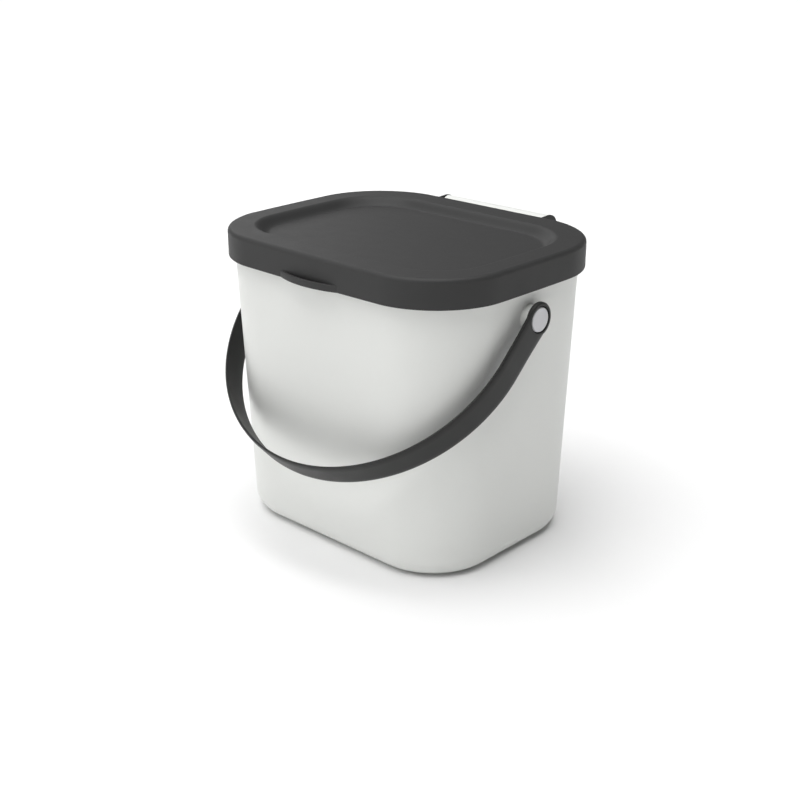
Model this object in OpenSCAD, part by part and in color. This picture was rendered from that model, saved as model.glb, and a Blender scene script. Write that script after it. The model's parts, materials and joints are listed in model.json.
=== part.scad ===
// Recycling bin: a tapering bucket with a hinged lid and a swinging strap handle.
// Millimetres. +Z is up, -Y is the front with the finger tab, and the origin is the
// centre of the face that the bucket stands on.

/* [Lid] */
// Height of the lid's top face above the floor
lid_top = 208; // [190:1:240]
// Width of the lid at the middle of its bowed sides
lid_w = 226; // [215:0.2:240]
// Depth of the lid from its bowed front to its back edge
lid_d = 180.2; // [170:0.2:190]
// Height of the skirt
skirt_h = 19.5; // [17:0.1:19.8]
// Thickness of the skirt
skirt_t = 2; // [1.6:0.1:2.3]
// Thickness of the top plate
plate_t = 2.2; // [1.8:0.1:2.4]
// Corner radius at the front, seen from above
lid_front_r = 51; // [44:1:56]
// Corner radius at the back, seen from above
lid_back_r = 57; // [52:1:60]
// How far each side bows out in the middle
side_bow = 2; // [1:0.5:6]
// How far the front bows out in the middle
front_bow = 2.4; // [1:0.2:6]
// Rounding of the top edge
top_edge_r = 3.2; // [2:0.1:3.6]

/* [Lid tray] */
// Width of the flat border at the sides of the tray
tray_side = 16.2; // [13:0.2:24]
// Width of the flat border at the front of the tray
tray_front = 18; // [13:0.5:24]
// Width of the flat border at the back of the tray
tray_back = 20; // [13:0.5:24]
// Depth of the tray below the top face
tray_depth = 6; // [3:0.5:8]
// Run of the tray's sloping wall, seen from above
tray_run = 9; // [5:0.5:11]

/* [Finger tab] */
// Width of the tab along the lid's front
tab_w = 51; // [40:1:66]
// How far the tab stands out from the skirt
tab_out = 4.7; // [4:0.1:7]
// Height of the tab's lip
tab_h = 4.6; // [3.6:0.1:7]
// Thickness of the lip and of the tab's floor
tab_t = 1.7; // [1.4:0.1:2.1]

/* [Bucket] */
// How much narrower the base is than the lid on each side, before its edge is rounded
side_taper = 11.5; // [8:0.1:18]
// How much shallower the base is than the lid at the front and at the back
depth_taper = 11.9; // [8:0.1:15]
// Corner radius of the base
base_corner_r = 47.5; // [44:0.5:56]
// Rounding between the wall and the floor
base_edge_r = 12; // [8:1:18]
// Wall thickness
wall_t = 2; // [1.6:0.1:2.4]
// Floor thickness
floor_t = 2.4; // [1.8:0.1:3]
// Gap from the bucket's wall to the inside of the skirt
rim_gap = 2; // [2:0.1:3]
// How far the rim's lip stands out
lip_out = 0.4; // [0.2:0.1:0.4]
// Height of the rim's lip
lip_h = 3; // [2:0.5:3]

/* [Hinge] */
// Distance of the hinge axis behind the lid's back edge
hinge_back = 6.9; // [6.6:0.1:7.4]
// Radius of the ears
ear_r = 8.2; // [8:0.1:8.3]
// Thickness of an ear
ear_t = 2; // [1.6:0.1:2.4]
// Width of the hinge housing between the ears
housing_w = 92; // [76:1:104]
// Distance of the housing's slanting foot below the lid's top face
housing_drop = 41; // [34:1:56]
// Wall thickness of the housing
housing_t = 2; // [1.6:0.1:2.4]
// Number of ribs inside the housing, between its end walls
housing_ribs = 2; // [1:1:5]
// Thickness of a rib
rib_t = 1.5; // [1.2:0.1:2]
// Radius of the hinge pins on the ears
hinge_pin_r = 2.6; // [2:0.1:3]
// Length of a hinge pin
hinge_pin_l = 3.6; // [3:0.2:5]
// Widest angle of the open lid
lid_open = 105; // [98:1:108]
// How much shorter the skirt is at the back, where it swings past the rim
relief_h = 6; // [6:0.1:6.6]
// Half width of the full relief
relief_top = 79; // [79:1:84]
// Half width of the relief at the skirt's lower edge, where its ramps end
relief_foot = 99; // [99:0.5:101]

/* [Handle] */
// Angle of the handle below the horizontal at rest
handle_tilt = 43.2; // [40:0.2:46]
// How much farther the bow reaches from the pivot axis than the lid's half depth
bow_reach = 57.1; // [53:0.1:60]
// Length of the straight part of each arm
arm_straight = 38.5; // [35:0.5:50]
// Clearance between the arms and the lid's widest part
arm_clear = 2; // [1:0.1:2.6]
// Strap thickness
strap_t = 2.4; // [2.2:0.1:3]
// Strap width at the bow
strap_bow_w = 19.8; // [15:0.2:20.4]
// Strap width at the eyes
strap_eye_w = 20.6; // [18:0.2:22]
// Radius of the eyes
eye_r = 11.3; // [11:0.1:13]
// Thickness of the eyes
eye_t = 3.2; // [3:0.1:4.2]
// Distance of the pivot axis below the lid's top face
pivot_drop = 37.4; // [36:0.2:44]
// Distance of the pivot axis in front of the middle
pivot_front = 2.2; // [0:0.2:8]

/* [Pivot plugs] */
// Radius of the plug's head
plug_head_r = 8; // [7.6:0.1:8.6]
// Thickness of the plug's head
plug_head_t = 1.8; // [1.2:0.1:2.2]
// Radius of the plug's journal, which the eye turns on
plug_journal_r = 6; // [5:0.1:6.5]
// Radius of the plug's shank, which is pressed into the bucket
plug_shank_r = 4; // [3:0.1:4.4]
// Length of the shank in its socket
plug_shank_l = 5.4; // [4:0.2:5.6]
// Radius of the boss on the bucket's side
boss_r = 10; // [8:0.1:10.8]

/* [Hidden] */

// Steps round a corner, along a side, and round the handle's bow
corner_steps = 10;
side_steps = 6;
bow_steps = 72;
$fn = 96;
// Overlap that joins two shapes of one solid
bite = 1;
// Clearances: between bodies, on each side of an eye, round a turning pin, round a pressed shank
gap = 0.35;
side_play = 0.15;
pin_fit = 0.06;
press_fit = 0.01;
// How far an eye stands proud of the strap's outer face
eye_proud = 0.1;
// Small roundings of moulded edges
soft_edge = 0.6;

dark = [0.24, 0.24, 0.25];
light = [0.86, 0.86, 0.84];
pale = [0.78, 0.78, 0.78];

// Heights of the skirt's lower edge, the bucket's rim, the handle's pivots and the
// housing's foot, the size of the base, and the middle of the strap at the bow
skirt_z = lid_top - skirt_h;
rim_z = lid_top - plate_t - gap;
pivot_z = lid_top - pivot_drop;
housing_foot_z = lid_top - housing_drop;
base_w = lid_w - 2 * side_taper;
base_d = lid_d - 2 * depth_taper;
handle_reach = lid_d / 2 + bow_reach;

// Hinge axis, the gap between the ears, and the housing that fills it
hinge_y = lid_d / 2 + hinge_back;
hinge_z = lid_top - ear_r;
ear_in = housing_w / 2 + gap;
knuckle_r = ear_r - 0.1;
pin_socket_r = hinge_pin_r + pin_fit;
pin_socket_l = hinge_pin_l + gap;
pin_boss_r = pin_socket_r + rib_t;

// The arms pass outside the lid's widest part, and the eyes end flush with the plugs' heads
arm_mid = lid_w / 2 + arm_clear + strap_t / 2;
eye_out = arm_mid + strap_t / 2 + eye_proud;
eye_in = eye_out - eye_t;
boss_out = eye_in - side_play;
counterbore_r = plug_head_r + 0.9;
counterbore_t = plug_head_t + side_play;

// Blends two values
function mix(a, b, t) = a + (b - a) * t;

// Points of an arc
function arc(c, r, a0, a1, n) = [
    for (i = [0 : n])
        let (a = mix(a0, a1, i / n))
        c + r * [cos(a), sin(a)]
];

// Points between two others, without them
function between(p, q, n) = [for (i = [1 : n - 1]) mix(p, q, i / n)];

// A rectangle with rounded corners: half width, half depth, front and back radius
function round_rect(hw, hd, rf, rb) =
    let (
        br = arc([hw - rb, hd - rb], rb, 0, 90, corner_steps),
        bl = arc([rb - hw, hd - rb], rb, 90, 180, corner_steps),
        fl = arc([rf - hw, rf - hd], rf, 180, 270, corner_steps),
        fr = arc([hw - rf, rf - hd], rf, 270, 360, corner_steps)
    )
    concat(
        br, between(br[corner_steps], bl[0], side_steps),
        bl, between(bl[corner_steps], fl[0], side_steps),
        fl, between(fl[corner_steps], fr[0], side_steps),
        fr, between(fr[corner_steps], br[0], side_steps)
    );

// Bows the sides and the front of an outline outwards
function bowed(points, hw, hd, bow_x, bow_y) = [
    for (p = points)
        let (u = p[0] / hw, v = p[1] / hd)
        [
            p[0] + bow_x * u * max(0, 1 - v * v),
            p[1] + (v < 0 ? bow_y * v * max(0, 1 - u * u) : 0)
        ]
];

// Puts an outline at a height, moved along Y
function ring(points, z, dy) = [for (p = points) [p[0], p[1] + dy, z]];

// The middle of a ring's points
function middle(r) = [for (p = r) 1] * r / len(r);

// A closed solid through rings of equal count, from its first cap to its last. Each cap is
// a fan about its middle, so that points in line with each other do no harm.
module loft(rings) {
    n = len(rings[0]);
    m = len(rings);
    caps = [middle(rings[0]), middle(rings[m - 1])];
    walls = [
        for (i = [0 : m - 2], j = [0 : n - 1])
            let (a = i * n + j, b = i * n + (j + 1) % n)
            each [[a, a + n, b + n], [a, b + n, b]]
    ];
    fans = [
        for (j = [0 : n - 1])
            let (k = (j + 1) % n, top = (m - 1) * n)
            each [[m * n, j, k], [m * n + 1, top + k, top + j]]
    ];
    polyhedron(concat([for (r = rings) each r], caps), concat(walls, fans));
}

// A round bar along X from x0 to x1, centred on the origin of Y and Z
module bar(r, x0, x1) {
    translate([x0, 0, 0]) rotate([0, 90, 0]) cylinder(r = r, h = x1 - x0);
}

// A section drawn in Y and Z, spread along X from x0 to x1
module spread(x0, x1) {
    translate([x0, 0, 0]) rotate([90, 0, 90]) linear_extrude(x1 - x0) children();
}

// The lid's outline, drawn in by an inset
lid_hw = lid_w / 2 - side_bow;
lid_hd = (lid_d - front_bow) / 2;
function lid_ring(inset, z) =
    ring(
        bowed(
            round_rect(lid_hw - inset, lid_hd - inset, lid_front_r - inset, lid_back_r - inset),
            lid_hw - inset, lid_hd - inset, side_bow, front_bow
        ),
        z, front_bow / 2
    );

// The tray's outline, drawn in by an inset
tray_hw = lid_w / 2 - side_bow - tray_side;
tray_hd = (lid_d - front_bow - tray_front - tray_back) / 2;
tray_dy = (tray_front - tray_back + front_bow) / 2;
tray_front_r = lid_front_r - tray_side;
tray_back_r = lid_back_r - tray_side;
function tray_ring(inset, z) =
    ring(
        bowed(
            round_rect(
                tray_hw - inset, tray_hd - inset,
                tray_front_r - inset / 2, tray_back_r - inset / 2
            ),
            tray_hw - inset, tray_hd - inset, side_bow, front_bow
        ),
        z, tray_dy
    );

// Rings of the tray's wall: an S curve from the border (t = 0) to the floor (t = 1)
function tray_wall(drop, steps) = [
    for (t = steps)
        tray_ring(tray_run * t, lid_top - drop - tray_depth * (1 - cos(180 * t)) / 2)
];

module lid_shell() {
    slope = [0 : 1 / 6 : 1];
    under = lid_top - plate_t;
    loft(concat(
        tray_wall(plate_t, [for (t = slope) 1 - t]),
        [lid_ring(skirt_t + 2 * soft_edge, under), lid_ring(skirt_t, under - 2 * soft_edge)],
        [lid_ring(skirt_t, skirt_z), lid_ring(0, skirt_z)],
        [
            for (a = [0 : 30 : 90])
                lid_ring(top_edge_r * (1 - cos(a)), lid_top - top_edge_r * (1 - sin(a)))
        ],
        tray_wall(0, [for (t = slope) t])
    ));
}

// The finger tab: a crescent lip with a gutter between it and the skirt
tab_y = -lid_d / 2;
tab_arc_r = (tab_w * tab_w / 4 + tab_out * tab_out) / (2 * tab_out);
module finger_tab() {
    intersection() {
        translate([0, tab_y - tab_out + tab_arc_r, skirt_z]) difference() {
            cylinder(r = tab_arc_r, h = tab_h);
            translate([0, 0, tab_t]) cylinder(r = tab_arc_r - tab_t, h = tab_h);
        }
        translate([-tab_w, tab_y - tab_out - bite, skirt_z])
            cube([2 * tab_w, tab_out + bite + skirt_t / 2, skirt_h]);
    }
}

// A round pin along X from its root at x = 0, with a chamfered tip
module pin(r, l) {
    rotate([0, 90, 0]) rotate_extrude() polygon([
        [0, 0], [r, 0], [r, l - soft_edge], [r - soft_edge, l], [0, l]
    ]);
}

// An ear with its hinge pin, for the side that points along +X
module ear() {
    root_y = -hinge_back - skirt_t / 2;
    root_z = skirt_z + relief_h - hinge_z;
    translate([0, hinge_y, hinge_z]) {
        bar(ear_r, ear_in, ear_in + ear_t);
        spread(ear_in, ear_in + ear_t) polygon([
            [0, ear_r], [root_y, ear_r], [root_y, root_z],
            [-ear_r * cos(65), -ear_r * sin(65)], [0, 0]
        ]);
        translate([ear_in + ear_t / 2, 0, 0])
            mirror([1, 0, 0]) pin(hinge_pin_r, hinge_pin_l + ear_t / 2);
    }
}

// The back skirt's relief, and the opening that leaves room for the housing
module back_cuts() {
    back_y = lid_d / 4;
    translate([0, back_y + lid_d, skirt_z]) rotate([90, 0, 0]) linear_extrude(lid_d) polygon([
        [-relief_foot - bite, -bite], [-relief_foot, 0], [-relief_top, relief_h],
        [relief_top, relief_h], [relief_foot, 0], [relief_foot + bite, -bite]
    ]);
    translate([-ear_in, lid_d / 2 - skirt_t - 2 * soft_edge, skirt_z - bite])
        cube([2 * ear_in, skirt_t + 2 * soft_edge + bite, skirt_h - plate_t + bite]);
}

module lid() {
    color(dark) {
        difference() {
            lid_shell();
            back_cuts();
        }
        finger_tab();
        ear();
        mirror([1, 0, 0]) ear();
    }
}

// The bucket's wall runs straight from the base outline to the mouth
mouth_inset = skirt_t + rim_gap;
function wall_ring(inset, z) =
    let (
        t = z / rim_z,
        hw = mix(base_w / 2, lid_hw - mouth_inset, t) - inset,
        hd = mix(base_d / 2, lid_hd - mouth_inset, t) - inset,
        rf = mix(base_corner_r, lid_front_r - mouth_inset, t) - inset,
        rb = mix(base_corner_r, lid_back_r - mouth_inset, t) - inset
    )
    ring(
        bowed(round_rect(hw, hd, rf, rb), hw, hd, side_bow * t, front_bow * t),
        z, t * front_bow / 2
    );

// The outer faces of the back wall and, in its middle, of the side wall
function back_wall_y(z) = mix(base_d / 2, lid_d / 2 - mouth_inset, z / rim_z);
function side_wall_x(z) = mix(base_w / 2, lid_w / 2 - mouth_inset, z / rim_z);

module bucket_shell() {
    inner_r = base_edge_r - wall_t;
    turn = [0 : 15 : 90];
    lip_z = rim_z - lip_h;
    loft(concat(
        [for (a = turn) wall_ring(base_edge_r * (1 - sin(a)), base_edge_r * (1 - cos(a)))],
        [wall_ring(0, lip_z), wall_ring(-lip_out, lip_z + soft_edge)],
        [wall_ring(-lip_out, rim_z - soft_edge), wall_ring(soft_edge - lip_out, rim_z)],
        [wall_ring(wall_t - soft_edge, rim_z), wall_ring(wall_t, rim_z - soft_edge)],
        [
            for (a = turn)
                wall_ring(wall_t + inner_r * (1 - cos(a)), floor_t + inner_r * (1 - sin(a)))
        ]
    ));
}

// Where the middle of the lid's rounded back edge comes to when the lid stands open
nose = [hinge_back + top_edge_r, ear_r - top_edge_r];
nose_y = nose[1] * sin(lid_open) - nose[0] * cos(lid_open);
nose_z = nose[0] * sin(lid_open) + nose[1] * cos(lid_open);
// The shoulder behind the knuckle that the open lid comes to rest on
shoulder_y = nose_y + soft_edge;
shoulder_z = nose_z - top_edge_r - gap;
// Heights of the housing's roof and foot above the hinge axis
roof_z = rim_z - lip_h / 2 - hinge_z;
foot_z = housing_foot_z - hinge_z;

// The housing's section about the hinge axis: a knuckle with a roof to the rim's lip,
// a shoulder behind it and a slanting foot
module housing_section() {
    circle(knuckle_r);
    polygon([
        [back_wall_y(rim_z) - hinge_y - wall_t / 2, roof_z],
        [0, roof_z],
        [0, shoulder_z],
        [shoulder_y, shoulder_z],
        [shoulder_y, -knuckle_r],
        [back_wall_y(housing_foot_z) - hinge_y - wall_t / 2, foot_z]
    ]);
}

// The hollow between two ribs, open to the wall and downwards
module housing_hollow() {
    z = shoulder_z - housing_t;
    back = -hinge_y + base_d / 2 - bite;
    circle(knuckle_r - housing_t);
    polygon([
        [back, roof_z - housing_t],
        [0, roof_z - housing_t],
        [0, z],
        [shoulder_y - housing_t, z],
        [shoulder_y - housing_t, foot_z - bite],
        [back, foot_z - bite]
    ]);
}

module housing() {
    half = housing_w / 2;
    pitch = (housing_w - rib_t) / (housing_ribs + 1);
    translate([0, hinge_y, hinge_z]) difference() {
        union() {
            difference() {
                spread(-half, half) housing_section();
                for (i = [0 : housing_ribs])
                    spread(rib_t + i * pitch - half, (i + 1) * pitch - half) housing_hollow();
            }
            bar(pin_boss_r, -half, rib_t + pin_socket_l - half);
            bar(pin_boss_r, half - pin_socket_l - rib_t, half);
        }
        bar(pin_socket_r, -half - bite, pin_socket_l - half);
        bar(pin_socket_r, half - pin_socket_l, half + bite);
    }
}

// A side boss and its socket, for the side that points along +X
module boss() {
    translate([0, -pivot_front, pivot_z]) bar(boss_r, side_wall_x(pivot_z) - wall_t / 2, boss_out);
}
module boss_socket() {
    translate([0, -pivot_front, pivot_z])
        bar(plug_shank_r + press_fit, boss_out - plug_shank_l - gap, boss_out + bite);
}

module bucket() {
    color(light) difference() {
        union() {
            bucket_shell();
            housing();
            boss();
            mirror([1, 0, 0]) boss();
        }
        boss_socket();
        mirror([1, 0, 0]) boss_socket();
    }
}

// The strap's middle line in the plane of the handle: x along X, y away from the pivot axis
function strap_point(a) =
    [arm_mid * cos(a), arm_straight + (handle_reach - arm_straight) * sin(a)];

// The strap's rounded section at a point, turned to the line's outward normal
function strap_section(p, normal) =
    let (
        share = p[1] / handle_reach,
        h = strap_t / 2,
        w = mix(strap_eye_w, strap_bow_w, share) / 2,
        r = strap_t / 3,
        section = [
            [h - r, -w], [h, r - w], [h, w - r], [h - r, w],
            [r - h, w], [-h, w - r], [-h, r - w], [r - h, -w]
        ]
    )
    [for (s = section) [p[0] + s[0] * normal[0], -p[1] - s[0] * normal[1], s[1]]];

module strap() {
    bow = [
        for (i = [0 : bow_steps])
            let (
                a = 180 * i / bow_steps,
                n = [cos(a) * (handle_reach - arm_straight), sin(a) * arm_mid]
            )
            strap_section(strap_point(a), n / norm(n))
    ];
    loft(concat(
        [strap_section([arm_mid, 0], [1, 0])],
        bow,
        [strap_section([-arm_mid, 0], [-1, 0])]
    ));
}

// The eye of the right arm, and what the plug needs to be cut from it
module eye() {
    chamfer = 0.8;
    translate([eye_in, 0, 0]) rotate([0, 90, 0]) rotate_extrude() polygon([
        [0, 0], [eye_r - chamfer, 0], [eye_r, chamfer],
        [eye_r, eye_t - chamfer], [eye_r - chamfer, eye_t], [0, eye_t]
    ]);
}
module eye_hole() {
    bar(plug_journal_r + pin_fit, eye_in - bite, eye_out + bite);
    bar(counterbore_r, eye_out - counterbore_t, eye_out + bite);
}

module handle() {
    color(dark) translate([0, -pivot_front, pivot_z]) rotate([handle_tilt, 0, 0]) difference() {
        union() {
            strap();
            eye();
            mirror([1, 0, 0]) eye();
        }
        eye_hole();
        mirror([1, 0, 0]) eye_hole();
    }
}

// A plug: head, journal in the eye, and shank in the bucket's boss
module plug() {
    head_edge = 0.5;
    journal_l = eye_out - plug_head_t - boss_out;
    color(pale) translate([boss_out - plug_shank_l, -pivot_front, pivot_z])
        rotate([0, 90, 0]) rotate_extrude() polygon([
            [0, 0], [plug_shank_r - head_edge, 0], [plug_shank_r, head_edge],
            [plug_shank_r, plug_shank_l], [plug_journal_r, plug_shank_l],
            [plug_journal_r, plug_shank_l + journal_l], [plug_head_r, plug_shank_l + journal_l],
            [plug_head_r, plug_shank_l + journal_l + plug_head_t - head_edge],
            [plug_head_r - head_edge, plug_shank_l + journal_l + plug_head_t],
            [0, plug_shank_l + journal_l + plug_head_t]
        ]);
}
module pivot_plug_right() {
    plug();
}
module pivot_plug_left() {
    mirror([1, 0, 0]) plug();
}

bucket();
lid();
handle();
pivot_plug_left();
pivot_plug_right();
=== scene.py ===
"""A kitchen recycling bin: a tapering bucket with a hinged lid and a swinging strap handle.

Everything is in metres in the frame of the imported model: +Z is up, -Y is the front, and the
origin is the centre of the face that the bucket stands on.
"""

import json
import math

import bmesh
import bpy
from bpy.props import FloatProperty, FloatVectorProperty, IntProperty, PointerProperty
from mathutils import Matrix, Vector


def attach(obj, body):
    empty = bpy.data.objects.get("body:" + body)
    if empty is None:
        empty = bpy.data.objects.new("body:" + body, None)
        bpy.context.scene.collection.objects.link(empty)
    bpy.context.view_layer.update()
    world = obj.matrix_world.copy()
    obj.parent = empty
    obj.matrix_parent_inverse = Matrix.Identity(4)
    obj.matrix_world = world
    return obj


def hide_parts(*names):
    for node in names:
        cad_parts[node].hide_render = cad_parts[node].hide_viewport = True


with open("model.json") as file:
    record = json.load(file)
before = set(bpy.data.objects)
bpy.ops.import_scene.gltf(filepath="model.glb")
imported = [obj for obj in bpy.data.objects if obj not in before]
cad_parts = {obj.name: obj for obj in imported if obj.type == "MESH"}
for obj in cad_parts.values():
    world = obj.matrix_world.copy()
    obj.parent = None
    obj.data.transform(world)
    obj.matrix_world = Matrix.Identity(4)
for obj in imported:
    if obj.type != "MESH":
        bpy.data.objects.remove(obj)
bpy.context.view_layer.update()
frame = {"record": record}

bl_info = {
    "name": "Recycling bin",
    "version": (1, 0, 0),
    "blender": (4, 5, 0),
    "location": "3D View > Sidebar > Bin",
    "description": "Models a kitchen recycling bin and the studio it stands in",
    "category": "Object",
}

MM = 0.001
TINY = 0.001 * MM  # places that are closer than this are the same
NEAR = 0.02 * MM  # a vertex that is closer than this to a face lies in it
WELD = 0.03 * MM  # vertices that are closer than this are merged
PAST = MM  # how far a cutter reaches past the face that it opens
THIN_EDGE = 0.6 * MM  # rounding of the skirt's and the rim's edges
SMALL_EDGE = 0.5 * MM  # rounding of the edges of small parts
EAR_PLAY = 0.35 * MM  # between an ear and the housing
END_PLAY = 0.35 * MM  # between the end of a pin or shank and the bottom of its socket
PIN_PLAY = 0.06 * MM  # round a hinge pin
SHANK_PLAY = 0.01 * MM  # round a plug's shank
BAYS = 3  # hollows of the housing, with a rib between each two
SMOOTH_ANGLE = 32  # degrees between two faces, below which they are shaded as one

FLOOR_COLOUR = (0.9, 0.9, 0.9)
SENSOR_WIDTH = 36  # of the camera, in millimetres
LIGHT_AIM = (0, 0, 0.1)  # the point that all the lights face
KEY_PLACE = (-0.05, -0.12, 1.2)
FILL_PLACE = (-0.5, -1, 0.45)
RIM_PLACE = (-1.3, 0.65, 0.85)
RIM_SIZE = 0.8
GLOW = (0.02, 0.06)  # rises of the view where the horizon's glow starts and stops fading


def length(name, about, millimetres):
    """A size in metres, given in millimetres."""
    return FloatProperty(
        name=name, description=about, default=millimetres * MM,
        min=0, subtype="DISTANCE", unit="LENGTH", precision=5,
    )


def tint(name, about, colour):
    """A surface colour."""
    return FloatVectorProperty(
        name=name, description=about, default=colour, size=3, min=0, max=1, subtype="COLOR",
    )


class LidSizes(bpy.types.PropertyGroup):
    """The sizes of the lid"""

    top: length("Top", "Height of the top face above the floor", 208)
    width: length("Width", "Width at the middle of the bowed sides", 226)
    depth: length("Depth", "Depth from the bowed front to the back edge", 180.2)
    skirt: length("Skirt", "Height of the skirt", 19.5)
    wall: length("Skirt wall", "Thickness of the skirt", 2)
    plate: length("Plate", "Thickness of the top plate", 2.2)
    front_radius: length("Front corner", "Corner radius at the front", 51)
    back_radius: length("Back corner", "Corner radius at the back", 57)
    side_bow: length("Side bow", "How far each side bows out", 2)
    front_bow: length("Front bow", "How far the front bows out", 2.4)
    top_round: length("Top rounding", "Rounding of the top edge", 3.2)
    tray_side: length("Side border", "Flat border at the sides of the tray", 16.2)
    tray_front: length("Front border", "Flat border at the front of the tray", 18)
    tray_back: length("Back border", "Flat border at the back of the tray", 20)
    tray_depth: length("Tray depth", "Depth of the tray", 6)
    tray_run: length("Tray wall", "Run of the tray's sloping wall, seen from above", 9)
    tab_width: length("Tab width", "Width of the finger tab", 51)
    tab_out: length("Tab reach", "How far the tab stands out from the skirt", 4.7)
    tab_height: length("Tab height", "Height of the tab's lip", 4.6)
    tab_wall: length("Tab wall", "Thickness of the tab's lip and floor", 1.7)


class HingeSizes(bpy.types.PropertyGroup):
    """The sizes of the hinge at the back of the lid and the bucket"""

    back: length("Axis distance", "Distance of the hinge axis behind the lid's back edge", 6.9)
    ear_radius: length("Ear radius", "Radius of the lid's ears", 8.2)
    ear_thickness: length("Ear thickness", "Thickness of an ear", 2)
    housing_width: length("Housing width", "Width of the housing between the ears", 92)
    housing_foot: length("Housing foot", "Height of the housing's foot on the back wall", 167)
    housing_wall: length("Housing wall", "Wall thickness of the housing", 2)
    rib: length("Rib", "Thickness of a rib in the housing", 1.5)
    pin_radius: length("Pin radius", "Radius of the hinge pins", 2.6)
    pin_length: length("Pin length", "Length of a hinge pin", 3.6)
    relief_height: length("Relief height", "How much shorter the skirt is at the back", 6)
    relief_top: length("Relief half width", "Half width of the full relief", 79)
    relief_foot: length("Relief foot", "Half width of the relief at the skirt's lower edge", 99)
    shoulder_reach: length("Shoulder reach", "Distance of the shoulder behind the hinge axis", 8.04)
    shoulder_rise: length("Shoulder rise", "Height of the shoulder above the hinge axis", 4.9)


class BucketSizes(bpy.types.PropertyGroup):
    """The sizes of the bucket"""

    base_width: length("Base width", "Width of the base before its edge is rounded", 203)
    base_depth: length("Base depth", "Depth of the base before its edge is rounded", 156.4)
    base_radius: length("Base corner", "Corner radius of the base", 47.5)
    base_round: length("Base rounding", "Rounding between the wall and the floor", 12)
    wall: length("Wall", "Wall thickness", 2)
    floor: length("Floor", "Floor thickness", 2.4)
    rim: length("Rim", "Height of the rim above the floor", 205.45)
    rim_inset: length("Rim inset", "Distance from the lid's outline to the rim's wall", 4)
    lip_out: length("Lip reach", "How far the rim's lip stands out", 0.4)
    lip_height: length("Lip height", "Height of the rim's lip", 3)
    boss_radius: length("Boss radius", "Radius of the boss behind a handle eye", 8.4)


class HandleSizes(bpy.types.PropertyGroup):
    """The sizes of the handle and its pivot plugs"""

    tilt: FloatProperty(
        name="Tilt", description="Angle of the handle below the horizontal at rest",
        default=math.radians(43.2), subtype="ANGLE", unit="ROTATION",
    )
    pivot_height: length("Pivot height", "Height of the pivot axis above the floor", 170.6)
    pivot_front: length("Pivot distance", "Distance of the pivot axis in front of the middle", 2.2)
    arm: length("Arm distance", "Distance of the middle of an arm from the centre", 116.2)
    reach: length("Reach", "Distance from the pivot axis to the middle of the bow", 147.2)
    straight: length("Straight", "Length of the straight part of each arm", 38.5)
    strap: length("Strap thickness", "Thickness of the strap", 2.4)
    crown: length("Crown", "Width of the rounding along the edges of the strap's outer face", 4.6)
    strap_round: length("Strap rounding", "Width of the rounding of its inner face's edges", 1.4)
    flare: FloatProperty(
        name="Flare", description="How much wider the arms get where they run into the eyes",
        default=1.08, min=1, max=1.2,
    )
    bow_width: length("Bow width", "Width of the strap at the bow", 19.8)
    eye_width: length("Arm width", "Width of the strap at the eyes", 20.6)
    eye_radius: length("Eye radius", "Radius of the eyes", 11.3)
    eye_thickness: length("Eye thickness", "Thickness of the eyes", 3.2)
    eye_out: length("Half width", "Distance of an eye's outer face from the centre", 117.5)
    bore: length("Bore", "Radius of the eye's bore", 6.06)
    seat: length("Seat", "Radius of the sunk seat of the plug's head", 8.9)
    seat_depth: length("Seat depth", "Depth of the plug's seat", 1.95)
    head: length("Head radius", "Radius of a plug's head", 8)
    head_thickness: length("Head thickness", "Thickness of a plug's head", 1.8)
    journal: length("Journal radius", "Radius of the plug's journal", 6)
    shank: length("Shank radius", "Radius of the plug's shank", 4)
    shank_length: length("Shank length", "Length of the plug's shank", 5.4)
    play: length("Side play", "Play between an eye and its boss", 0.15)


class Finishes(bpy.types.PropertyGroup):
    """The colours of the mouldings"""

    bucket: tint("Bucket", "Colour of the bucket's plastic", (0.79, 0.8, 0.775))
    lid: tint("Lid", "Colour of the lid's plastic", (0.04, 0.04, 0.04))
    handle: tint("Handle", "Colour of the handle's plastic", (0.022, 0.022, 0.0215))
    plug: tint("Plug", "Colour of the plugs' plastic", (0.64, 0.64, 0.66))
    grain: length("Grain", "Height of the moulded grain", 0.02)


class StudioSettings(bpy.types.PropertyGroup):
    """The camera, the lights and the floor"""

    azimuth: FloatProperty(
        name="Azimuth", description="Direction of the camera, from the front towards +X",
        default=math.radians(43.02), subtype="ANGLE", unit="ROTATION",
    )
    elevation: FloatProperty(
        name="Elevation", description="Angle of the camera above the horizon",
        default=math.radians(21.77), subtype="ANGLE", unit="ROTATION",
    )
    distance: length("Distance", "Distance of the camera from its target", 921.95)
    target_left: length("Target offset", "How far left of the centre the camera looks", 4.7)
    target_height: length("Target height", "Height of the point that the camera looks at", 82.95)
    lens: FloatProperty(
        name="Lens", description="Focal length of the camera, in millimetres",
        default=58.498, subtype="DISTANCE_CAMERA",
    )
    key: FloatProperty(
        name="Key", description="Strength of the wide soft light from above", default=3.05,
    )
    key_width: FloatProperty(
        name="Key width", description="Angle that the soft light spans",
        default=math.radians(60), subtype="ANGLE", unit="ROTATION",
    )
    fill: FloatProperty(
        name="Fill", description="Strength of the very soft light from the front left",
        default=1.05,
    )
    fill_width: FloatProperty(
        name="Fill width", description="Angle that the very soft light spans",
        default=math.radians(90), subtype="ANGLE", unit="ROTATION",
    )
    rim: FloatProperty(
        name="Rim", description="Power of the panel behind the left side", default=3, unit="POWER",
    )
    sky: FloatProperty(
        name="Sky", description="Strength of the light above the horizon's glow", default=0.08,
    )
    floor_size: length("Floor", "Width of the square floor", 40000)


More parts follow.
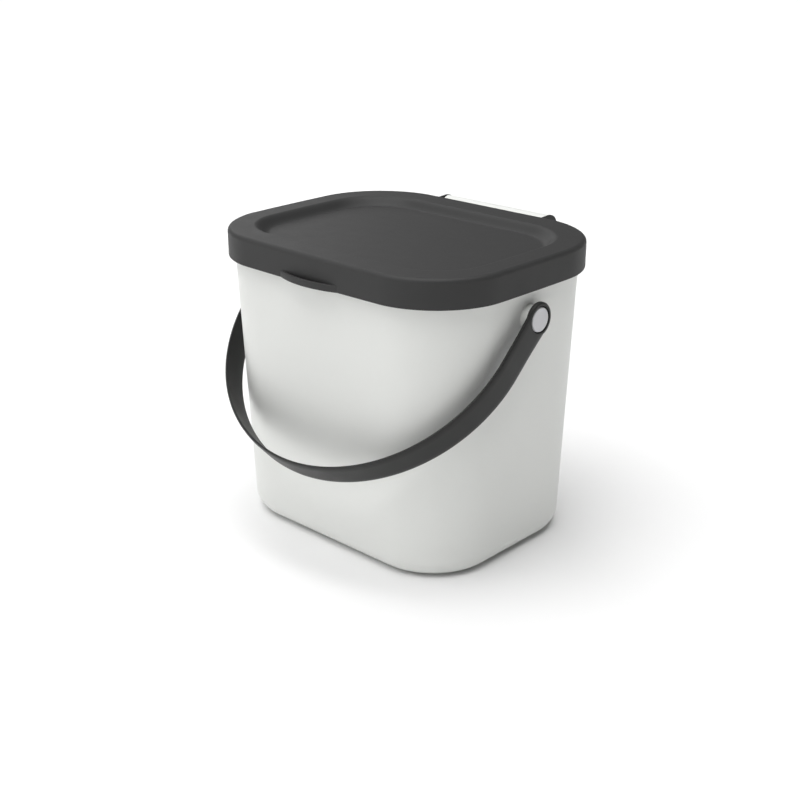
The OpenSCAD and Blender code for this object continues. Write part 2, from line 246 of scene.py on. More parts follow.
class BinSettings(bpy.types.PropertyGroup):
    """All sizes, finishes and studio settings of the bin"""

    lid: PointerProperty(type=LidSizes, name="Lid", description="Sizes of the lid")
    hinge: PointerProperty(type=HingeSizes, name="Hinge", description="Sizes of the hinge")
    bucket: PointerProperty(type=BucketSizes, name="Bucket", description="Sizes of the bucket")
    handle: PointerProperty(type=HandleSizes, name="Handle", description="Sizes of the handle")
    finish: PointerProperty(type=Finishes, name="Finishes", description="Colours of the plastics")
    studio: PointerProperty(type=StudioSettings, name="Studio", description="Camera and lights")
    corner_steps: IntProperty(
        name="Corner steps", description="Segments round one corner of an outline",
        default=24, min=4, max=64,
    )
    side_steps: IntProperty(
        name="Side steps", description="Cuts in each half of an outline's side",
        default=9, min=1, max=40,
    )


# Modelling steps


def release():
    """Goes back to object mode and deselects everything."""
    if bpy.context.object and bpy.context.object.mode != "OBJECT":
        bpy.ops.object.mode_set(mode="OBJECT")
    bpy.ops.object.select_all(action="DESELECT")


def take(piece):
    """Selects one piece alone, in object mode, and makes it active."""
    release()
    piece.select_set(True)
    bpy.context.view_layer.objects.active = piece


def edit(piece):
    """Opens one piece in edit mode."""
    take(piece)
    bpy.ops.object.mode_set(mode="EDIT")


def added(name):
    """Names the active piece and puts its place into its mesh."""
    piece = bpy.context.object
    take(piece)
    piece.name = name
    bpy.ops.object.transform_apply(location=True, rotation=True, scale=True)
    return piece


def pick(kind, test):
    """Selects the vertices, edges or faces of the piece in edit mode that pass a test."""
    kinds = ("VERT", "EDGE", "FACE")
    bpy.context.tool_settings.mesh_select_mode = [kind == k for k in kinds]
    bpy.ops.mesh.select_all(action="DESELECT")
    mesh = bpy.context.object.data
    shape = bmesh.from_edit_mesh(mesh)
    parts = (shape.verts, shape.edges, shape.faces)[kinds.index(kind)]
    chosen = [part for part in parts if test(part)]
    if not chosen:
        raise ValueError(f"nothing to select on {bpy.context.object.name}")
    for part in chosen:
        part.select_set(True)
    shape.select_flush_mode()
    bmesh.update_edit_mesh(mesh)


def face_out():
    """Turns all faces of the piece in edit mode outwards and goes back to object mode."""
    bpy.ops.mesh.select_all(action="SELECT")
    bpy.ops.mesh.normals_make_consistent(inside=False)
    bpy.ops.object.mode_set(mode="OBJECT")


def finish_with(piece, kind, **settings):
    """Adds a modifier of a kind to a piece and applies it."""
    take(piece)
    modifier = piece.modifiers.new(kind, kind)
    for name, value in settings.items():
        setattr(modifier, name, value)
    bpy.ops.object.modifier_apply(modifier=modifier.name)


def combine(piece, other, operation):
    """Unites a piece with another one, or cuts the other one from it, and removes the other."""
    finish_with(piece, "BOOLEAN", operation=operation, solver="EXACT", object=other)
    bpy.data.meshes.remove(other.data)


def soften(piece, width, steps=2, angle=40):
    """Rounds the sharp edges of a piece."""
    finish_with(
        piece, "BEVEL", width=width, segments=steps, limit_method="ANGLE",
        angle_limit=math.radians(angle), use_clamp_overlap=True,
    )


def smooth(piece):
    """Closes the slits that booleans leave, and shades a piece smoothly, with flat faces flat."""
    edit(piece)
    bpy.ops.mesh.select_all(action="SELECT")
    bpy.ops.mesh.remove_doubles(threshold=WELD)
    bpy.ops.mesh.fill_holes(sides=4)
    face_out()
    take(piece)
    bpy.ops.object.shade_smooth_by_angle(angle=math.radians(SMOOTH_ANGLE))
    finish_with(piece, "WEIGHTED_NORMAL", keep_sharp=True, weight=80)


def outline(size, height, front_radius, back_radius, centre_y, side_bow, front_bow):
    """A wire outline seen from above: a rectangle with round corners, bowed sides and front."""
    settings = bpy.context.scene.bin
    half_width, half_depth = size
    release()
    bpy.ops.mesh.primitive_plane_add(size=2, location=(0, centre_y, height))
    piece = bpy.context.object
    piece.scale = (half_width, half_depth, 1)
    bpy.ops.object.transform_apply(location=False, rotation=False, scale=True)
    edit(piece)
    bpy.ops.mesh.select_all(action="SELECT")
    bpy.ops.mesh.delete(type="ONLY_FACE")
    pick("EDGE", lambda e: True)
    bpy.ops.mesh.subdivide(number_cuts=1)
    for side, radius in ((-1, front_radius), (1, back_radius)):
        pick("VERT", lambda v: v.co.y * side > 0 and abs(v.co.x) > half_width / 2)
        bpy.ops.mesh.bevel(
            offset=radius, segments=settings.corner_steps, affect="VERTICES", profile=0.5
        )
    step = max(front_radius, back_radius) * math.pi / 2 / settings.corner_steps
    pick("EDGE", lambda e: e.calc_length() > step * 1.5)
    bpy.ops.mesh.subdivide(number_cuts=settings.side_steps)
    bows = (
        (Vector((side_bow, 0, 0)), half_width, half_depth),
        (Vector((-side_bow, 0, 0)), half_width, half_depth),
        (Vector((0, -front_bow, 0)), half_depth, half_width),
    )
    for move, half, reach in bows:
        if move.length > 0:
            middle = move.normalized() * half
            pick("VERT", lambda v: (v.co - middle).length < TINY)
            bpy.ops.transform.translate(
                value=move, use_proportional_edit=True,
                proportional_edit_falloff="INVERSE_SQUARE", proportional_size=reach,
            )
    return added("outline")


def loft(name, outlines):
    """Bridges outlines of equal count, each to the next, and closes both ends.

    The next outline is lifted while it is bridged, because outlines in one plane can twist.
    """
    for level, ring in enumerate(outlines):
        mark = ring.data.attributes.new("level", "INT", "POINT")
        mark.data.foreach_set("value", [level] * len(ring.data.vertices))
    take(outlines[0])
    for ring in outlines:
        ring.select_set(True)
    bpy.ops.object.join()
    piece = added(name)
    edit(piece)

    def along(*levels):
        """Selects the edges round the outlines of some levels."""
        shape = bmesh.from_edit_mesh(piece.data)
        mark = shape.verts.layers.int["level"]
        pick(
            "EDGE",
            lambda e: e.verts[0][mark] == e.verts[1][mark] and e.verts[0][mark] in levels,
        )

    lift = Vector((0, 0, 50 * MM))
    for level in range(len(outlines) - 1):
        along(level + 1)
        bpy.ops.transform.translate(value=lift)
        along(level, level + 1)
        bpy.ops.mesh.bridge_edge_loops()
        along(level + 1)
        bpy.ops.transform.translate(value=-lift)
    for level in (0, len(outlines) - 1):
        along(level)
        bpy.ops.mesh.edge_face_add()
        bpy.ops.mesh.inset(thickness=MM, depth=0)
    face_out()
    piece.data.attributes.remove(piece.data.attributes["level"])
    return piece


def bar(name, radius, start, end, y, z, segments=96):
    """A round bar along X."""
    release()
    bpy.ops.mesh.primitive_cylinder_add(
        vertices=segments, radius=radius, depth=end - start,
        location=((start + end) / 2, y, z), rotation=(0, math.pi / 2, 0),
    )
    return added(name)


def profile_bar(name, corners, start, end):
    """A straight bar along X whose ends have their corners at points of Y and Z."""
    release()
    bpy.ops.mesh.primitive_circle_add(vertices=len(corners), radius=MM, fill_type="NGON")
    piece = added(name)
    edit(piece)
    for index, (y, z) in enumerate(corners):
        pick("VERT", lambda v: v.index == index)
        now = piece_vertex(index)
        bpy.ops.transform.translate(value=Vector((start, y, z)) - now)
    pick("FACE", lambda f: True)
    bpy.ops.mesh.extrude_region_move(TRANSFORM_OT_translate={"value": (end - start, 0, 0)})
    face_out()
    return piece


def piece_vertex(index):
    """The place of one vertex of the piece in edit mode."""
    shape = bmesh.from_edit_mesh(bpy.context.object.data)
    shape.verts.ensure_lookup_table()
    return shape.verts[index].co.copy()


def arc(centre, radius, first, last, steps):
    """Points of an arc, from one angle in degrees to another."""
    angles = [math.radians(first + (last - first) * i / steps) for i in range(steps + 1)]
    return [(centre[0] + radius * math.cos(a), centre[1] + radius * math.sin(a)) for a in angles]


def quarter(radius, step):
    """Distances of a quarter round's points from the faces at its start and at its end.

    The points are a step of so many degrees apart.
    """
    turns = [math.radians(angle) for angle in range(0, 91, step)]
    return [(radius * (1 - math.cos(turn)), radius * (1 - math.sin(turn))) for turn in turns]


def mirrored(piece, name):
    """A copy of a piece on the other side, with its own mesh."""
    take(piece)
    bpy.ops.object.duplicate(linked=False)
    twin = bpy.context.object
    twin.name = name
    edit(twin)
    bpy.ops.mesh.select_all(action="SELECT")
    bpy.ops.transform.resize(value=(-1, 1, 1), center_override=(0, 0, 0))
    face_out()
    return twin


def both_sides(piece, part, operation):
    """Unites a part and its mirror image with a piece, or cuts both from it."""
    twin = mirrored(part, part.name + "_twin")
    combine(piece, part, operation)
    combine(piece, twin, operation)


# Materials


class Wire:
    """An output of a material's node, which sums, products and further nodes are made from"""

    def __init__(self, tree, socket):
        self.tree = tree
        self.socket = socket

    def node(self, kind, settings, inputs, output=0):
        """Adds a node of any type with its settings and inputs, and returns one of its outputs."""
        made = self.tree.nodes.new(kind)
        for name, value in settings.items():
            setattr(made, name, value)
        for name, value in inputs.items():
            if isinstance(value, Wire):
                self.tree.links.new(value.socket, made.inputs[name])
            else:
                made.inputs[name].default_value = value
        return Wire(self.tree, made.outputs[output])

    def maths(self, operation, first, second):
        """A Math node between two wires or numbers."""
        return self.node("ShaderNodeMath", {"operation": operation}, {0: first, 1: second})

    def __add__(self, other):
        return self.maths("ADD", self, other)

    def __radd__(self, other):
        return self.maths("ADD", other, self)

    def __sub__(self, other):
        return self.maths("SUBTRACT", self, other)

    def __rsub__(self, other):
        return self.maths("SUBTRACT", other, self)

    def __mul__(self, other):
        return self.maths("MULTIPLY", self, other)

    def __rmul__(self, other):
        return self.maths("MULTIPLY", other, self)

    def feed(self, shader, name):
        """Feeds an input of the shader."""
        self.tree.links.new(self.socket, shader.inputs[name])


def moulded(name, colour, roughness, gloss_spread, grain, mottle, specular=0.5):
    """A moulded plastic with a fine grain, faint clouds of colour and uneven gloss."""
    material = bpy.data.materials.new(name)
    material.use_nodes = True
    tree = material.node_tree
    shader = tree.nodes["Principled BSDF"]
    shader.inputs["Specular IOR Level"].default_value = specular
    place = Wire(tree, tree.nodes.new("ShaderNodeTexCoord").outputs["Object"])

    def noise(scale, detail):
        """A noise with so many waves in a metre."""
        return place.node(
            "ShaderNodeTexNoise", {}, {"Vector": place, "Scale": scale, "Detail": detail}
        )

    clouds = noise(scale=22, detail=3)
    flow = noise(scale=90, detail=2)
    speckle = noise(scale=2600, detail=2)
    fine = noise(scale=900, detail=3)
    pale = [min(1, channel * (1 + mottle)) for channel in colour] + [1]
    deep = [channel * (1 - mottle) for channel in colour] + [1]
    share = clouds * 0.55 + flow * 0.25 + speckle * 0.2
    place.node(
        "ShaderNodeMix", {"data_type": "RGBA"}, {0: share, 6: deep, 7: pale}, output=2
    ).feed(shader, "Base Color")
    uneven = roughness + (flow - 0.5) * gloss_spread + (fine - 0.5) * gloss_spread
    uneven.feed(shader, "Roughness")
    height = fine * 0.6 + speckle * 0.4
    place.node(
        "ShaderNodeBump", {}, {"Height": height, "Strength": 0.35, "Distance": grain}
    ).feed(shader, "Normal")
    return material


def dress(piece, material, node, body):
    """Gives a piece its material and the body it moves with, and hides the imported part of the
    node that it stands for.
    """
    piece.data.materials.clear()
    piece.data.materials.append(material)
    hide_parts(node)
    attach(piece, body)
    node_slot(node)


def node_slot(node):
    """The material slot of a node in the record."""
    for part in frame["record"]["subparts"]:
        if part["node"] == node:
            return part["material_slot"]
    raise ValueError(f"no slot for {node}")


# Lid


def lid_outline(lid, inset, height):
    """The lid's outline, drawn in by an inset."""
    half_width = lid.width / 2 - lid.side_bow - inset
    half_depth = (lid.depth - lid.front_bow) / 2 - inset
    return outline(
        (half_width, half_depth), height, lid.front_radius - inset, lid.back_radius - inset,
        lid.front_bow / 2, lid.side_bow, lid.front_bow,
    )


def tray_outline(lid, inset, height):
    """The tray's outline, drawn in by an inset."""
    half_width = lid.width / 2 - lid.side_bow - lid.tray_side - inset
    half_depth = (lid.depth - lid.front_bow - lid.tray_front - lid.tray_back) / 2 - inset
    return outline(
        (half_width, half_depth), height,
        lid.front_radius - lid.tray_side - inset / 2, lid.back_radius - lid.tray_side - inset / 2,
        (lid.tray_front - lid.tray_back + lid.front_bow) / 2, lid.side_bow, lid.front_bow,
    )


def tray_slope(lid, drop, steps):
    """Outlines of the tray's wall, an S curve from the border to the tray's floor."""
    shares = [i / steps for i in range(steps + 1)]
    return [
        tray_outline(
            lid, lid.tray_run * t,
            lid.top - drop - lid.tray_depth * (1 - math.cos(math.pi * t)) / 2,
        )
        for t in shares
    ]


def lid_shell(lid):
    """The lid's plate with its tray, and the skirt."""
    under = lid.top - lid.plate
    foot = lid.top - lid.skirt
    corner = 1.2 * MM
    edge = quarter(THIN_EDGE, 30)
    rings = list(reversed(tray_slope(lid, lid.plate, steps=10)))
    rings.append(lid_outline(lid, lid.wall + corner, under))
    rings.append(lid_outline(lid, lid.wall, under - corner))
    rings += [lid_outline(lid, lid.wall - out, foot + up) for out, up in edge]
    rings += [lid_outline(lid, inset, foot + up) for inset, up in reversed(edge[:-1])]
    rings += [lid_outline(lid, inset, lid.top - down) for inset, down in quarter(lid.top_round, 10)]
    rings += tray_slope(lid, 0, steps=18)
    return loft("lid_visual", rings)


def hinge_axis(lid, hinge):
    """The Y and the Z of the hinge axis."""
    return lid.depth / 2 + hinge.back, lid.top - hinge.ear_radius


def back_cuts(piece, lid, hinge):
    """Shortens the skirt at the back and opens it between the ears."""
    foot = lid.top - lid.skirt
    release()
    bpy.ops.mesh.primitive_cube_add(
        size=1, location=(0, lid.depth / 2, foot),
        scale=(2 * hinge.relief_foot, lid.depth / 2, 2 * PAST),
    )
    relief = added("relief")
    edit(relief)
    pick("FACE", lambda f: f.normal.z > 0.5)
    bpy.ops.transform.translate(value=(0, 0, -PAST))
    bpy.ops.mesh.extrude_region_move(
        TRANSFORM_OT_translate={"value": (0, 0, hinge.relief_height)}
    )
    bpy.ops.transform.resize(
        value=(hinge.relief_top / hinge.relief_foot, 1, 1),
        center_override=(0, lid.depth / 2, foot + hinge.relief_height),
    )
    face_out()
    combine(piece, relief, "DIFFERENCE")
    short_of_ear = 0.1 * MM
    half = hinge.housing_width / 2 + EAR_PLAY - short_of_ear
    depth = lid.wall + 1.2 * MM
    middle = (0, lid.depth / 2 - depth + lid.wall * 2, lid.top - lid.plate - lid.skirt / 2)
    release()
    bpy.ops.mesh.primitive_cube_add(
        size=1, location=middle, scale=(2 * half, 4 * lid.wall, lid.skirt)
    )
    combine(piece, added("ear_gap"), "DIFFERENCE")


def finger_tab(lid):
    """The crescent lip with its gutter at the front of the skirt."""
    foot = lid.top - lid.skirt
    front = -lid.depth / 2
    radius = (lid.tab_width ** 2 / 4 + lid.tab_out ** 2) / (2 * lid.tab_out)
    release()
    bpy.ops.mesh.primitive_cylinder_add(
        vertices=720, radius=radius, depth=lid.tab_height,
        location=(0, front - lid.tab_out + radius, foot + lid.tab_height / 2),
    )
    tab = added("finger_tab")
    edit(tab)
    pick("FACE", lambda f: f.normal.z > 0.5)
    bpy.ops.mesh.inset(thickness=lid.tab_wall, depth=0)
    bpy.ops.mesh.extrude_region_move(
        TRANSFORM_OT_translate={"value": (0, 0, lid.tab_wall - lid.tab_height)}
    )
    pick(
        "EDGE",
        lambda e: e.calc_face_angle(0) > 1 and abs(e.verts[0].co.z - e.verts[1].co.z) < TINY,
    )
    bpy.ops.mesh.bevel(offset=SMALL_EDGE, segments=3, profile=0.5)
    bpy.ops.mesh.select_all(action="SELECT")
    bpy.ops.mesh.bisect(
        plane_co=(0, front + lid.wall / 2, 0), plane_no=(0, 1, 0), use_fill=True, clear_outer=True
    )
    face_out()
    return tab


def ear(lid, hinge):
    """The right ear with its hinge pin.

    Its root ends inside the skirt and the plate, so that no face of it lies in one of theirs.
    """
    axis = hinge_axis(lid, hinge)
    ear_in = hinge.housing_width / 2 + EAR_PLAY
    skirt_y = lid.depth / 2 - lid.wall / 2
    skirt_z = lid.top - lid.skirt + hinge.relief_height
    plate_y = lid.depth / 2 - lid.top_round - 0.3 * MM
    plate_low, plate_high = lid.top - lid.plate + 0.5 * MM, lid.top - 0.4 * MM
    corners = [
        (skirt_y, skirt_z), (skirt_y, plate_low), (plate_y, plate_low), (plate_y, plate_high),
    ]
    corners += arc(axis, hinge.ear_radius, first=90, last=-115, steps=60)
    blade = profile_bar("ear", corners, ear_in, ear_in + hinge.ear_thickness)
    soften(blade, 0.45 * MM, steps=3, angle=50)
    pin = bar(
        "hinge_pin", hinge.pin_radius, ear_in - hinge.pin_length, ear_in + MM, *axis, segments=48
    )
    soften(pin, SMALL_EDGE, angle=60)
    combine(blade, pin, "UNION")
    return blade


class BIN_OT_lid(bpy.types.Operator):
    """Models the lid with its tray, finger tab, ears and hinge pins"""

    bl_idname = "bin.lid"
    bl_label = "Lid"

    def execute(self, context):
        settings = context.scene.bin
        lid, hinge = settings.lid, settings.hinge
        piece = lid_shell(lid)
        back_cuts(piece, lid, hinge)
        combine(piece, finger_tab(lid), "UNION")
        both_sides(piece, ear(lid, hinge), "UNION")
        smooth(piece)
        plastic = moulded(
            "lid_plastic", settings.finish.lid, roughness=0.55, gloss_spread=0.1,
            grain=settings.finish.grain, mottle=0.05, specular=0.25,
        )
        dress(piece, plastic, "lid", "lid")
        return {"FINISHED"}


# Bucket


def wall_outline(bucket, lid, inset, height):
    """The bucket's wall at a height, drawn in by an inset."""
    share = height / bucket.rim

    def between(low, high):
        """A size at this height, from its values at the base and at the rim."""
        return low + (high - low) * share

    rim_width = lid.width / 2 - lid.side_bow - bucket.rim_inset
    rim_depth = (lid.depth - lid.front_bow) / 2 - bucket.rim_inset
    return outline(
        (between(bucket.base_width / 2, rim_width) - inset,
         between(bucket.base_depth / 2, rim_depth) - inset),
        height,
        between(bucket.base_radius, lid.front_radius - bucket.rim_inset) - inset,
        between(bucket.base_radius, lid.back_radius - bucket.rim_inset) - inset,
        share * lid.front_bow / 2, share * lid.side_bow, share * lid.front_bow,
    )


def bucket_shell(bucket, lid):
    """The bucket's floor, walls and rim."""
    lip = bucket.rim - bucket.lip_height
    edge = quarter(THIN_EDGE, 30)
    outside = quarter(bucket.base_round, 9)
    inside = quarter(bucket.base_round - bucket.wall, 9)

    def ring(inset, height):
        """The wall's outline at a height, drawn in by an inset."""
        return wall_outline(bucket, lid, inset, height)

    rings = [ring(inset, up) for up, inset in outside]
    rings += [ring(0, lip), ring(-bucket.lip_out, lip + THIN_EDGE)]
    rings += [ring(inset - bucket.lip_out, bucket.rim - down) for inset, down in edge]
    rings += [ring(bucket.wall - out, bucket.rim - down) for down, out in edge[1:]]
    rings += [ring(bucket.wall + inset, bucket.floor + up) for inset, up in inside]
    return loft("bucket_visual", rings)


def hinge_housing(bucket, lid, hinge):
    """The hollow housing behind the rim: knuckle, roof, shoulder, ribs and pin sockets."""
    axis_y, axis_z = hinge_axis(lid, hinge)
    inside_ears = 0.3 * MM
    knuckle = hinge.ear_radius - inside_ears
    half = hinge.housing_width / 2
    roof = bucket.rim - bucket.lip_height / 2
    back = axis_y + hinge.shoulder_reach
    shoulder = axis_z + hinge.shoulder_rise
    wall = hinge.housing_wall
    in_wall = lid.depth / 2 - bucket.rim_inset - bucket.wall / 2
    foot_share = hinge.housing_foot / bucket.rim
    foot_y = bucket.base_depth / 2 * (1 - foot_share) + (in_wall + bucket.wall / 2) * foot_share
    housing = profile_bar(
        "housing",
        [(in_wall, roof), (axis_y, roof), (axis_y, shoulder), (back, shoulder),
         (back, axis_z - knuckle), (foot_y - bucket.wall / 2, hinge.housing_foot)],
        -half, half,
    )
    combine(housing, bar("knuckle", knuckle, -half, half, axis_y, axis_z), "UNION")
    soften(housing, SMALL_EDGE, steps=3, angle=50)
    pitch = (hinge.housing_width - hinge.rib) / BAYS
    deep = bucket.base_depth / 2 - PAST
    low = hinge.housing_foot - PAST
    corners = [
        (deep, roof - wall), (axis_y, roof - wall), (axis_y, shoulder - wall),
        (back - wall, shoulder - wall), (back - wall, low), (deep, low),
    ]
    for bay in range(BAYS):
        start = hinge.rib + bay * pitch - half
        end = (bay + 1) * pitch - half
        hollow = profile_bar("hollow", corners, start, end)
        combine(hollow, bar("bore", knuckle - wall, start, end, axis_y, axis_z), "UNION")
        combine(housing, hollow, "DIFFERENCE")
    pin_sockets(housing, lid, hinge)
    return housing


def pin_sockets(housing, lid, hinge):
    """Sinks the hinge pins' sockets into collars inside the housing's end walls."""
    axis = hinge_axis(lid, hinge)
    end = hinge.housing_width / 2
    radius = hinge.pin_radius + PIN_PLAY
    bottom = end - (hinge.pin_length + END_PLAY)
    collar = bar(
        "collar", radius + hinge.rib, bottom - hinge.rib, end - SMALL_EDGE, *axis, segments=64
    )
    both_sides(housing, collar, "UNION")
    socket = bar("socket", radius, bottom, end + PAST, *axis, segments=48)
    both_sides(housing, socket, "DIFFERENCE")


def boss_face(handle):
    """The distance of a boss's end face from the centre."""
    return handle.eye_out - handle.eye_thickness - handle.play


def boss(bucket, end, y, z):
    """The right boss, with a small hollow rounding where it meets the wall."""
    height, hollow, steps = 6.4 * MM, 0.8 * MM, 6
    root = 1.2 * MM
    wall = end - height
    piece = bar("boss", bucket.boss_radius + hollow, wall - root, wall, y, z)
    edit(piece)
    pick("FACE", lambda f: f.normal.x > 0.5)
    for step in range(1, steps + 1):
        turns = [math.pi / 2 * (step - back) / steps for back in (1, 0)]
        now, then = [bucket.boss_radius + hollow * (1 - math.sin(t)) for t in turns]
        lift = hollow * (math.cos(turns[0]) - math.cos(turns[1]))
        bpy.ops.mesh.extrude_region_move(TRANSFORM_OT_translate={"value": (lift, 0, 0)})
        bpy.ops.transform.resize(value=(1, then / now, then / now), center_override=(0, y, z))
    bpy.ops.mesh.extrude_region_move(TRANSFORM_OT_translate={"value": (height - hollow, 0, 0)})
    pick("EDGE", lambda e: all(v.co.x > end - NEAR for v in e.verts))
    bpy.ops.mesh.bevel(offset=SMALL_EDGE, segments=3, profile=0.5)
    face_out()
    return piece


class BIN_OT_bucket(bpy.types.Operator):
    """Models the bucket with its rim, hinge housing and side bosses"""

    bl_idname = "bin.bucket"
    bl_label = "Bucket"

    def execute(self, context):
        settings = context.scene.bin
        lid, bucket, handle = settings.lid, settings.bucket, settings.handle
        piece = bucket_shell(bucket, lid)
        housing = hinge_housing(bucket, lid, settings.hinge)
        combine(piece, housing, "UNION")
        end = boss_face(handle)
        axis = (-handle.pivot_front, handle.pivot_height)
        both_sides(piece, boss(bucket, end, *axis), "UNION")
        socket = bar(
            "boss_socket", handle.shank + SHANK_PLAY,
            end - handle.shank_length - END_PLAY, end + PAST, *axis, segments=64,
        )
        both_sides(piece, socket, "DIFFERENCE")
        smooth(piece)
        plastic = moulded(
            "bucket_plastic", settings.finish.bucket, roughness=0.42, gloss_spread=0.08,
            grain=settings.finish.grain * 0.5, mottle=0.012,
        )
        dress(piece, plastic, "bucket", "bucket")
        return {"FINISHED"}


# Handle and plugs


def strap(handle):
    """The strap, lying flat: a spun bow with two straight arms, narrower towards the bow.

    Its section is rounded while it is stretched across, so that the roundings end up flat.
    """
    stretch = 3.6
    middle = (handle.arm, -handle.straight, 0)
    release()
    bpy.ops.mesh.primitive_plane_add(size=1, location=middle, rotation=(math.pi / 2, 0, 0))
    piece = bpy.context.object
    piece.scale = (handle.strap * stretch, handle.eye_width, 1)
    piece = added("handle_visual")
    edit(piece)
    bpy.ops.mesh.select_all(action="SELECT")
    bpy.ops.mesh.delete(type="ONLY_FACE")
    for side, width in ((1, handle.crown), (-1, handle.strap_round)):
        pick(
            "VERT",
            lambda v: abs(abs(v.co.z) - handle.eye_width / 2) < NEAR
            and (v.co.x - handle.arm) * side > 0,
        )
        bpy.ops.mesh.bevel(offset=width, segments=8, affect="VERTICES", profile=0.5)
    bpy.ops.mesh.select_all(action="SELECT")
    bpy.ops.transform.resize(value=(1 / stretch, 1, 1), center_override=middle)
    bpy.ops.mesh.select_all(action="SELECT")
    bpy.ops.mesh.spin(
        steps=160, angle=math.pi, center=(0, -handle.straight, 0), axis=(0, 0, 1)
    )
    bpy.ops.mesh.select_all(action="SELECT")
    bpy.ops.transform.resize(
        value=(1, (handle.reach - handle.straight) / handle.arm, 1),
        center_override=(0, -handle.straight, 0),
    )
    steps = 6
    for side in (1, -1):
        pick("EDGE", lambda e: e.is_boundary and all(v.co.x * side > 0 for v in e.verts))
        for step in range(1, steps + 1):
            bpy.ops.mesh.extrude_region_move(
                TRANSFORM_OT_translate={"value": (0, handle.straight / steps, 0)}
            )
            if step > steps / 2:
                grow = 1 + (handle.flare - 1) * (2 * step / steps - 1)
                before = 1 + (handle.flare - 1) * max(0, 2 * (step - 1) / steps - 1)
                bpy.ops.transform.resize(value=(1, 1, grow / before), center_override=(0, 0, 0))
        bpy.ops.mesh.edge_face_add()
    face_out()
    drop = 1 - handle.bow_width / handle.eye_width
    finish_with(
        piece, "SIMPLE_DEFORM", deform_method="TAPER", deform_axis="Y", lock_x=True,
        factor=drop * (handle.reach + handle.strap / 2) / handle.reach,
    )
    return piece


def eye(handle):
    """The eye of the right arm."""
    inner = handle.eye_out - handle.eye_thickness
    piece = bar("eye", handle.eye_radius, inner, handle.eye_out, 0, 0, segments=128)
    edit(piece)
    for end, width in ((handle.eye_out, 1.5 * MM), (inner, THIN_EDGE)):
        pick("EDGE", lambda e: all(abs(v.co.x - end) < NEAR for v in e.verts))
        bpy.ops.mesh.bevel(offset=width, segments=6, profile=0.5)
    face_out()
    return piece


def eye_hole(handle):
    """What is cut from an eye: the bore and the seat of the plug's head."""
    out = handle.eye_out
    hole = bar("hole", handle.seat, out - handle.seat_depth, out + PAST, 0, 0, segments=128)
    edit(hole)
    pick("FACE", lambda f: f.normal.x < -0.5)
    bpy.ops.mesh.inset(thickness=handle.seat - handle.bore, depth=0)
    bpy.ops.mesh.extrude_region_move(
        TRANSFORM_OT_translate={"value": (-handle.eye_thickness, 0, 0)}
    )
    face_out()
    return hole


class BIN_OT_handle(bpy.types.Operator):
    """Models the strap handle with an eye at each end"""

    bl_idname = "bin.handle"
    bl_label = "Handle"

    def execute(self, context):
        settings = context.scene.bin
        handle = settings.handle
        piece = strap(handle)
        both_sides(piece, eye(handle), "UNION")
        both_sides(piece, eye_hole(handle), "DIFFERENCE")
        edit(piece)
        pick(
            "EDGE",
            lambda e: all(
                abs(v.co.x) > handle.eye_out - NEAR and abs(v.co.yz.length - handle.seat) < NEAR
                for v in e.verts
            ),
        )
        bpy.ops.mesh.bevel(offset=0.25 * MM, segments=2, profile=0.5)
        face_out()
        piece.location = (0, -handle.pivot_front, handle.pivot_height)
        piece.rotation_euler = (handle.tilt, 0, 0)
        take(piece)
        added("handle_visual")
        smooth(piece)
        plastic = moulded(
            "handle_plastic", settings.finish.handle, roughness=0.44, gloss_spread=0.1,
            grain=settings.finish.grain, mottle=0.05, specular=0.3,
        )
        dress(piece, plastic, "handle", "handle")
        return {"FINISHED"}


def plug(handle):
    """The right pivot plug: a head, a journal and a shank, turned from one bar."""
    out = handle.eye_out
    head_in = out - handle.head_thickness
    piece = bar(
        "pivot_plug_right_visual", handle.head, head_in, out,
        -handle.pivot_front, handle.pivot_height, segments=128,
    )
    edit(piece)
    pick("FACE", lambda f: f.normal.x < -0.5)
    bpy.ops.mesh.inset(thickness=handle.head - handle.journal, depth=0)
    bpy.ops.mesh.extrude_region_move(
        TRANSFORM_OT_translate={"value": (boss_face(handle) - head_in, 0, 0)}
    )
    bpy.ops.mesh.inset(thickness=handle.journal - handle.shank, depth=0)
    bpy.ops.mesh.extrude_region_move(
        TRANSFORM_OT_translate={"value": (-handle.shank_length, 0, 0)}
    )
    pick("EDGE", lambda e: all(v.co.x > out - NEAR for v in e.verts))
    bpy.ops.mesh.bevel(offset=0.9 * MM, segments=6, profile=0.5)
    face_out()
    soften(piece, 0.3 * MM, steps=3, angle=60)
    return piece


class BIN_OT_plugs(bpy.types.Operator):
    """Models the pivot plugs, the left one as a mirrored copy of the right one"""

    bl_idname = "bin.plugs"
    bl_label = "Pivot plugs"

    def execute(self, context):
        settings = context.scene.bin
        right = plug(settings.handle)
        left = mirrored(right, "pivot_plug_left_visual")
        plastic = moulded(
            "plug_plastic", settings.finish.plug, roughness=0.45, gloss_spread=0.08,
            grain=settings.finish.grain * 0.5, mottle=0.02,
        )
        for piece, node in ((right, "pivot_plug_right"), (left, "pivot_plug_left")):
            smooth(piece)
            dress(piece, plastic, node, "bucket")
        return {"FINISHED"}


# Studio


def add_light(kind, name, power, place):
    """A light that points from its place at the point that all of them face."""
    data = bpy.data.lights.new(name, kind)
    data.energy = power
    light = bpy.data.objects.new(name, data)
    light.location = place
    light.rotation_euler = (Vector(LIGHT_AIM) - Vector(place)).to_track_quat("-Z", "Y").to_euler()
    bpy.context.scene.collection.objects.link(light)
    return data


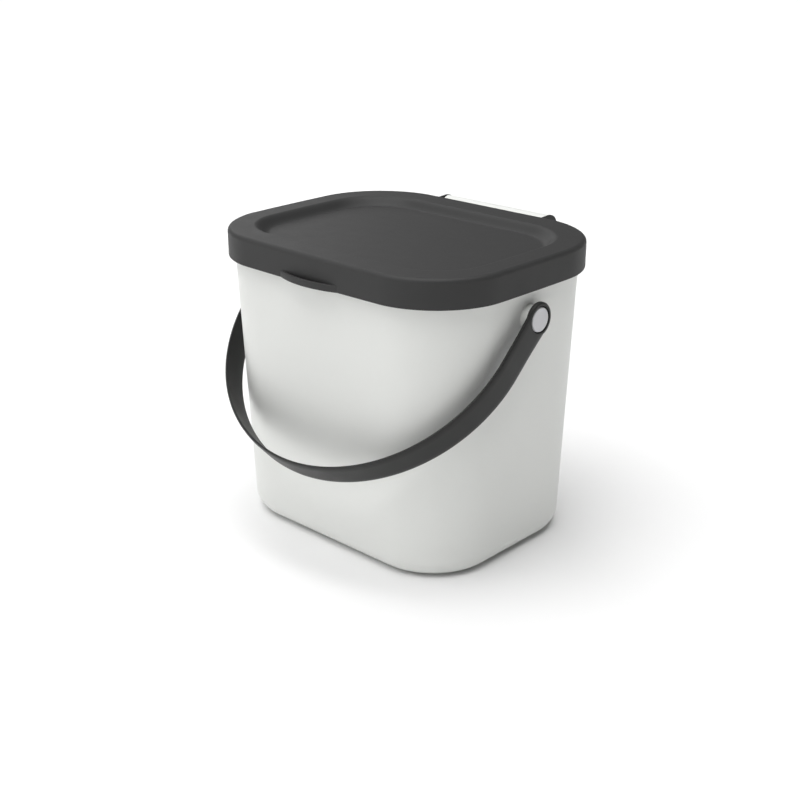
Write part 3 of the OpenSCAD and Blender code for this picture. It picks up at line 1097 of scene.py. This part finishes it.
class BIN_OT_studio(bpy.types.Operator):
    """Sets up the floor, the lights and the camera"""

    bl_idname = "bin.studio"
    bl_label = "Studio"

    def execute(self, context):
        studio = context.scene.bin.studio
        scene = context.scene
        release()
        bpy.ops.mesh.primitive_plane_add(size=studio.floor_size)
        floor = added("floor")
        paper = moulded(
            "floor_paper", FLOOR_COLOUR, roughness=0.8, gloss_spread=0.05,
            grain=0.01 * MM, mottle=0.004, specular=0.1,
        )
        floor.data.materials.append(paper)

        world = bpy.data.worlds.new("studio_sky")
        world.use_nodes = True
        tree = world.node_tree
        sky = tree.nodes["Background"]
        sky.inputs["Color"].default_value = (1, 1, 1, 1)
        way = Wire(tree, tree.nodes.new("ShaderNodeTexCoord").outputs["Generated"])
        rise = way.node("ShaderNodeSeparateXYZ", {}, {"Vector": way}, output=2)
        rise.node(
            "ShaderNodeMapRange", {},
            {
                "Value": rise, "From Min": GLOW[0], "From Max": GLOW[1],
                "To Min": 1, "To Max": studio.sky,
            },
        ).feed(sky, "Strength")
        scene.world = world

        add_light("SUN", "key", studio.key, KEY_PLACE).angle = studio.key_width
        add_light("SUN", "fill", studio.fill, FILL_PLACE).angle = studio.fill_width
        add_light("AREA", "rim", studio.rim, RIM_PLACE).size = RIM_SIZE
        scene.view_settings.view_transform = "Standard"

        away = Vector((
            math.sin(studio.azimuth) * math.cos(studio.elevation),
            -math.cos(studio.azimuth) * math.cos(studio.elevation),
            math.sin(studio.elevation),
        ))
        data = bpy.data.cameras.new("camera")
        data.lens = studio.lens
        data.sensor_width = SENSOR_WIDTH
        camera = bpy.data.objects.new("camera", data)
        target = Vector((-studio.target_left, 0, studio.target_height))
        camera.location = target + away * studio.distance
        camera.rotation_euler = (-away).to_track_quat("-Z", "Y").to_euler()
        scene.collection.objects.link(camera)
        scene.camera = camera
        return {"FINISHED"}


class BIN_PT_panel(bpy.types.Panel):
    """Lists the sizes of the bin and the steps that model it"""

    bl_idname = "BIN_PT_panel"
    bl_label = "Recycling bin"
    bl_space_type = "VIEW_3D"
    bl_region_type = "UI"
    bl_category = "Bin"

    def draw(self, context):
        settings = context.scene.bin
        for step in STEPS:
            self.layout.operator(step.bl_idname)
        for group in (
            settings.lid, settings.hinge, settings.bucket, settings.handle,
            settings.finish, settings.studio,
        ):
            box = self.layout.box()
            for name in group.__annotations__:
                box.prop(group, name)


STEPS = (BIN_OT_bucket, BIN_OT_lid, BIN_OT_handle, BIN_OT_plugs, BIN_OT_studio)
CLASSES = (
    LidSizes, HingeSizes, BucketSizes, HandleSizes, Finishes, StudioSettings, BinSettings,
    *STEPS, BIN_PT_panel,
)


def register():
    """Registers the classes and the settings."""
    for made in CLASSES:
        bpy.utils.register_class(made)
    bpy.types.Scene.bin = PointerProperty(type=BinSettings)


def unregister():
    """Takes the settings and the classes away."""
    del bpy.types.Scene.bin
    for made in reversed(CLASSES):
        bpy.utils.unregister_class(made)


def main():
    """Models all pieces and the studio."""
    register()
    bpy.ops.bin.bucket()
    bpy.ops.bin.lid()
    bpy.ops.bin.handle()
    bpy.ops.bin.plugs()
    bpy.ops.bin.studio()
    release()


if __name__ == "__main__":
    main()
